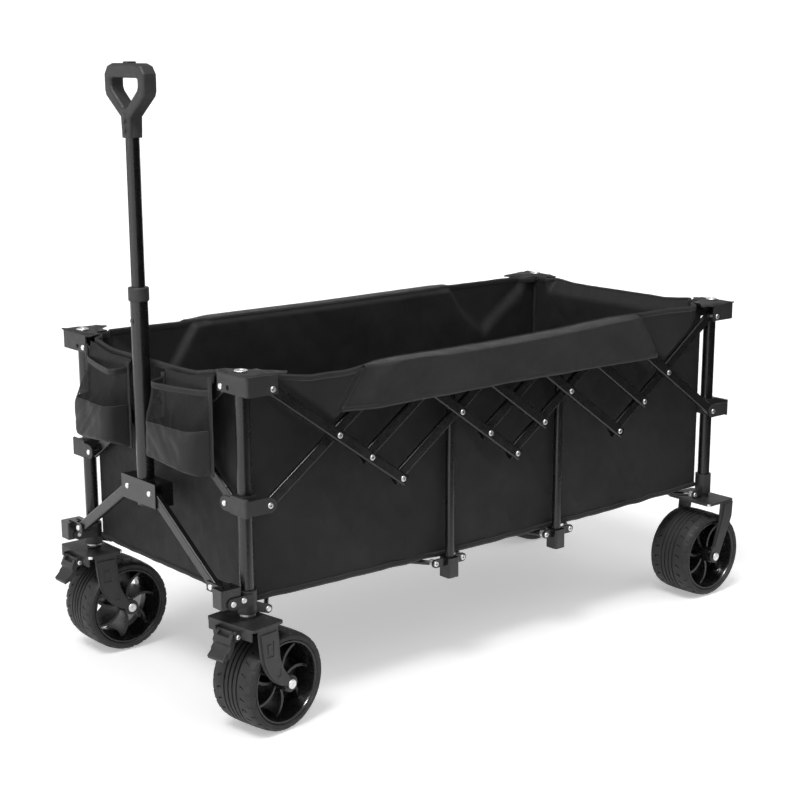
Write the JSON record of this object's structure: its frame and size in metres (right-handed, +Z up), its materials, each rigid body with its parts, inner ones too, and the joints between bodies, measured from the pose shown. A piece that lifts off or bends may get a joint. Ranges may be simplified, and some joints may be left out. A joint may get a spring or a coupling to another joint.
{
  "type": "folding camp wagon",
  "caption": "Folding utility wagon with a fabric tub, scissor lattice sides, swivel front casters, fixed rear wheels and a telescoping pull handle.",
  "frame": {"origin": "on the ground under the middle of the wagon", "axes": "+X towards the rear, away from the pull handle; +Z up; the side with the turned caster is at -Y"},
  "size_m": [1.3292, 0.6469, 1.126],
  "materials": {
    "post_steel": "satin black powder coat",
    "bar_steel": "satin dark grey powder coat",
    "bracket_plastic": "moulded black plastic",
    "zinc": "zinc plated",
    "fabric": "charcoal woven polyester",
    "caster_steel": "gloss black paint",
    "hub_plastic": "satin black plastic",
    "tyre_rubber": "black moulded tread",
    "grip_plastic": "soft black grip"
  },
  "bodies": {
    "front_frame": {"front_posts": "post_steel", "front_top_brackets": "bracket_plastic", "front_lower_fittings": "bracket_plastic", "front_end_upper_bars": "bar_steel", "front_fasteners": "zinc", "front_end_panel": "fabric", "end_pockets": "fabric", "tub_floor": "fabric", "tub_side_panels": "fabric", "side_flaps": "fabric"},
    "rear_frame": {"rear_posts": "post_steel", "rear_top_brackets": "bracket_plastic", "rear_lower_fittings": "bracket_plastic", "rear_end_upper_bars": "bar_steel", "rear_fasteners": "zinc", "rear_forks": "caster_steel", "rear_end_panel": "fabric"},
    "front_sliders": {"front_sliders": "bracket_plastic", "front_end_lower_bars": "bar_steel"},
    "rear_sliders": {"rear_sliders": "bracket_plastic", "rear_end_lower_bars": "bar_steel"},
    "handle_frame": {"handle_yoke": "post_steel", "handle_bracket": "post_steel", "handle_outer_tube": "post_steel", "handle_collar": "grip_plastic"},
    "handle_upper": {"handle_inner_tube": "post_steel", "handle_grip": "grip_plastic"},
    "grip_button": {"grip_button": "grip_plastic"},
    "middle_post_front": {"middle_post_front": "post_steel"},
    "middle_post_rear": {"middle_post_rear": "post_steel"},
    "bar_a1": {"lattice_bar_a1": "bar_steel"},
    "bar_a2": {"lattice_bar_a2": "bar_steel"},
    "bar_c": {"lattice_bar_c": "bar_steel"},
    "bar_a3": {"lattice_bar_a3": "bar_steel"},
    "bar_d": {"lattice_bar_d": "bar_steel"},
    "bar_a4": {"lattice_bar_a4": "bar_steel"},
    "bar_b1": {"lattice_bar_b1": "bar_steel"},
    "bar_p1": {"lattice_bar_p1": "bar_steel"},
    "bar_b2": {"lattice_bar_b2": "bar_steel"},
    "bar_p2": {"lattice_bar_p2": "bar_steel"},
    "bar_b3": {"lattice_bar_b3": "bar_steel"},
    "bar_b4": {"lattice_bar_b4": "bar_steel"},
    "floor_spokes_front_a": {"floor_spokes_front_a": "bar_steel"},
    "floor_spokes_front_b": {"floor_spokes_front_b": "bar_steel"},
    "floor_spokes_centre_a": {"floor_spokes_centre_a": "bar_steel"},
    "floor_spokes_centre_b": {"floor_spokes_centre_b": "bar_steel"},
    "floor_spokes_rear_a": {"floor_spokes_rear_a": "bar_steel"},
    "floor_spokes_rear_b": {"floor_spokes_rear_b": "bar_steel"},
    "front_near_caster": {"front_near_fork": "caster_steel"},
    "front_near_pedal": {"front_near_brake_pedal": "bracket_plastic"},
    "front_near_wheel": {"front_near_hub": "hub_plastic", "front_near_tyre": "tyre_rubber"},
    "rear_near_wheel": {"rear_near_hub": "hub_plastic", "rear_near_tyre": "tyre_rubber"},
    "front_far_caster": {"front_far_fork": "caster_steel"},
    "front_far_pedal": {"front_far_brake_pedal": "bracket_plastic"},
    "front_far_wheel": {"front_far_hub": "hub_plastic", "front_far_tyre": "tyre_rubber"},
    "rear_far_wheel": {"rear_far_hub": "hub_plastic", "rear_far_tyre": "tyre_rubber"}
  },
  "joints": [
    {"name": "fold", "type": "hinge", "parent": "front_frame", "child": "bar_a1", "pos_m": [-0.5595, 0, 0.6058], "axis": [0, 1, 0], "range_deg": [0, 38.42], "deforming": ["tub_floor", "tub_side_panels", "side_flaps"]},
    {"name": "b1_turn", "type": "hinge", "parent": "bar_a1", "child": "bar_b1", "pos_m": [-0.4195, 0, 0.50565], "axis": [0, 1, 0], "range_deg": [-76.84, 0]},
    {"name": "p1_turn", "type": "hinge", "parent": "bar_a1", "child": "bar_p1", "pos_m": [-0.3495, 0, 0.45558], "axis": [0, 1, 0], "range_deg": [-76.84, 0]},
    {"name": "b2_turn", "type": "hinge", "parent": "bar_a1", "child": "bar_b2", "pos_m": [-0.2795, 0, 0.4055], "axis": [0, 1, 0], "range_deg": [-76.84, 0]},
    {"name": "a2_turn", "type": "hinge", "parent": "bar_b2", "child": "bar_a2", "pos_m": [-0.1395, 0, 0.50565], "axis": [0, 1, 0], "range_deg": [0, 76.84]},
    {"name": "c_turn", "type": "hinge", "parent": "bar_b2", "child": "bar_c", "pos_m": [-0.0695, 0, 0.55573], "axis": [0, 1, 0], "range_deg": [0, 76.84]},
    {"name": "p2_turn", "type": "hinge", "parent": "bar_a2", "child": "bar_p2", "pos_m": [-0.0695, 0, 0.45558], "axis": [0, 1, 0], "range_deg": [-76.84, 0]},
    {"name": "b3_turn", "type": "hinge", "parent": "bar_a2", "child": "bar_b3", "pos_m": [0.0005, 0, 0.4055], "axis": [0, 1, 0], "range_deg": [-76.84, 0]},
    {"name": "a3_turn", "type": "hinge", "parent": "bar_b3", "child": "bar_a3", "pos_m": [0.1405, 0, 0.50565], "axis": [0, 1, 0], "range_deg": [0, 76.84]},
    {"name": "a4_turn", "type": "hinge", "parent": "bar_b3", "child": "bar_a4", "pos_m": [0.2805, 0, 0.6058], "axis": [0, 1, 0], "range_deg": [0, 76.84]},
    {"name": "d_turn", "type": "hinge", "parent": "bar_b3", "child": "bar_d", "pos_m": [0.2105, 0, 0.55573], "axis": [0, 1, 0], "range_deg": [0, 76.84]},
    {"name": "b4_turn", "type": "hinge", "parent": "bar_a3", "child": "bar_b4", "pos_m": [0.2805, 0, 0.4055], "axis": [0, 1, 0], "range_deg": [-76.84, 0]},
    {"name": "rear_frame_turn", "type": "hinge", "parent": "bar_b4", "child": "rear_frame", "pos_m": [0.5605, 0, 0.6058], "axis": [0, 1, 0], "range_deg": [0, 38.42]},
    {"name": "front_slider_turn", "type": "hinge", "parent": "bar_b1", "child": "front_sliders", "pos_m": [-0.5595, 0, 0.4055], "axis": [0, 1, 0], "range_deg": [0, 38.42]},
    {"name": "rear_slider_turn", "type": "hinge", "parent": "bar_a4", "child": "rear_sliders", "pos_m": [0.5605, 0, 0.4055], "axis": [0, 1, 0], "range_deg": [-38.42, 0]},
    {"name": "middle_post_front_turn", "type": "hinge", "parent": "bar_a2", "child": "middle_post_front", "pos_m": [-0.1395, 0, 0.50565], "axis": [0, 1, 0], "range_deg": [-38.42, 0]},
    {"name": "middle_post_rear_turn", "type": "hinge", "parent": "bar_a3", "child": "middle_post_rear", "pos_m": [0.1405, 0, 0.50565], "axis": [0, 1, 0], "range_deg": [-38.42, 0]},
    {"name": "spokes_front_a_turn", "type": "hinge", "parent": "front_frame", "child": "floor_spokes_front_a", "pos_m": [-0.554, 0, 0.2175], "axis": [0, 1, 0], "range_deg": [-74.55, 0]},
    {"name": "spokes_front_b_turn", "type": "hinge", "parent": "middle_post_front", "child": "floor_spokes_front_b", "pos_m": [-0.1755, 0, 0.2175], "axis": [0, 1, 0], "range_deg": [0, 74.55]},
    {"name": "spokes_centre_a_turn", "type": "hinge", "parent": "middle_post_front", "child": "floor_spokes_centre_a", "pos_m": [-0.1095, 0, 0.2175], "axis": [0, 1, 0], "range_deg": [-80.87, 0]},
    {"name": "spokes_centre_b_turn", "type": "hinge", "parent": "middle_post_rear", "child": "floor_spokes_centre_b", "pos_m": [0.1105, 0, 0.2175], "axis": [0, 1, 0], "range_deg": [0, 80.87]},
    {"name": "spokes_rear_a_turn", "type": "hinge", "parent": "middle_post_rear", "child": "floor_spokes_rear_a", "pos_m": [0.1765, 0, 0.2175], "axis": [0, 1, 0], "range_deg": [-74.55, 0]},
    {"name": "spokes_rear_b_turn", "type": "hinge", "parent": "rear_frame", "child": "floor_spokes_rear_b", "pos_m": [0.555, 0, 0.2175], "axis": [0, 1, 0], "range_deg": [0, 74.55]},
    {"name": "front_near_swivel", "type": "hinge", "parent": "front_frame", "child": "front_near_caster", "pos_m": [-0.59, -0.261, 0.22], "axis": [0, 0, 1], "continuous": true},
    {"name": "front_near_roll", "type": "hinge", "parent": "front_near_caster", "child": "front_near_wheel", "pos_m": [-0.54654, -0.25412, 0.0892], "axis": [-0.1564, 0.9877, 0], "continuous": true},
    {"name": "front_near_brake", "type": "hinge", "parent": "front_near_caster", "child": "front_near_pedal", "pos_m": [-0.63642, -0.26835, 0.191], "axis": [-0.1564, 0.9877, 0], "range_deg": [-18, 0]},
    {"name": "rear_near_roll", "type": "hinge", "parent": "rear_frame", "child": "rear_near_wheel", "pos_m": [0.571, -0.261, 0.0892], "axis": [0, 1, 0], "continuous": true},
    {"name": "front_far_swivel", "type": "hinge", "parent": "front_frame", "child": "front_far_caster", "pos_m": [-0.59, 0.261, 0.22], "axis": [0, 0, 1], "continuous": true},
    {"name": "front_far_roll", "type": "hinge", "parent": "front_far_caster", "child": "front_far_wheel", "pos_m": [-0.546, 0.261, 0.0892], "axis": [0, 1, 0], "continuous": true},
    {"name": "front_far_brake", "type": "hinge", "parent": "front_far_caster", "child": "front_far_pedal", "pos_m": [-0.637, 0.261, 0.191], "axis": [0, 1, 0], "range_deg": [-18, 0]},
    {"name": "rear_far_roll", "type": "hinge", "parent": "rear_frame", "child": "rear_far_wheel", "pos_m": [0.571, 0.261, 0.0892], "axis": [0, 1, 0], "continuous": true},
    {"name": "handle_tilt", "type": "hinge", "parent": "front_frame", "child": "handle_frame", "pos_m": [-0.63, 0, 0.244], "axis": [0, 1, 0], "range_deg": [-100, 0]},
    {"name": "handle_slide", "type": "slide", "parent": "handle_frame", "child": "handle_upper", "axis": [0, 0, 1], "range_m": [-0.24, 0]},
    {"name": "button_press", "type": "slide", "parent": "handle_upper", "child": "grip_button", "axis": [0, 0, -1], "range_m": [0, 0.003], "stiffness_N_per_m": 400}
  ],
  "couplings": [
    {"joint": "b1_turn", "follows": "fold", "ratio": -2},
    {"joint": "p1_turn", "follows": "fold", "ratio": -2},
    {"joint": "b2_turn", "follows": "fold", "ratio": -2},
    {"joint": "a2_turn", "follows": "fold", "ratio": 2},
    {"joint": "c_turn", "follows": "fold", "ratio": 2},
    {"joint": "p2_turn", "follows": "fold", "ratio": -2},
    {"joint": "b3_turn", "follows": "fold", "ratio": -2},
    {"joint": "a3_turn", "follows": "fold", "ratio": 2},
    {"joint": "a4_turn", "follows": "fold", "ratio": 2},
    {"joint": "d_turn", "follows": "fold", "ratio": 2},
    {"joint": "b4_turn", "follows": "fold", "ratio": -2},
    {"joint": "rear_frame_turn", "follows": "fold", "ratio": 1},
    {"joint": "front_slider_turn", "follows": "fold", "ratio": 1},
    {"joint": "rear_slider_turn", "follows": "fold", "ratio": -1},
    {"joint": "middle_post_front_turn", "follows": "fold", "ratio": -1},
    {"joint": "middle_post_rear_turn", "follows": "fold", "ratio": -1},
    {"joint": "spokes_front_a_turn", "follows": "fold", "ratio": -1.9403},
    {"joint": "spokes_front_b_turn", "follows": "fold", "ratio": 1.9403},
    {"joint": "spokes_centre_a_turn", "follows": "fold", "ratio": -2.1049},
    {"joint": "spokes_centre_b_turn", "follows": "fold", "ratio": 2.1049},
    {"joint": "spokes_rear_a_turn", "follows": "fold", "ratio": -1.9403},
    {"joint": "spokes_rear_b_turn", "follows": "fold", "ratio": 1.9403}
  ]
}
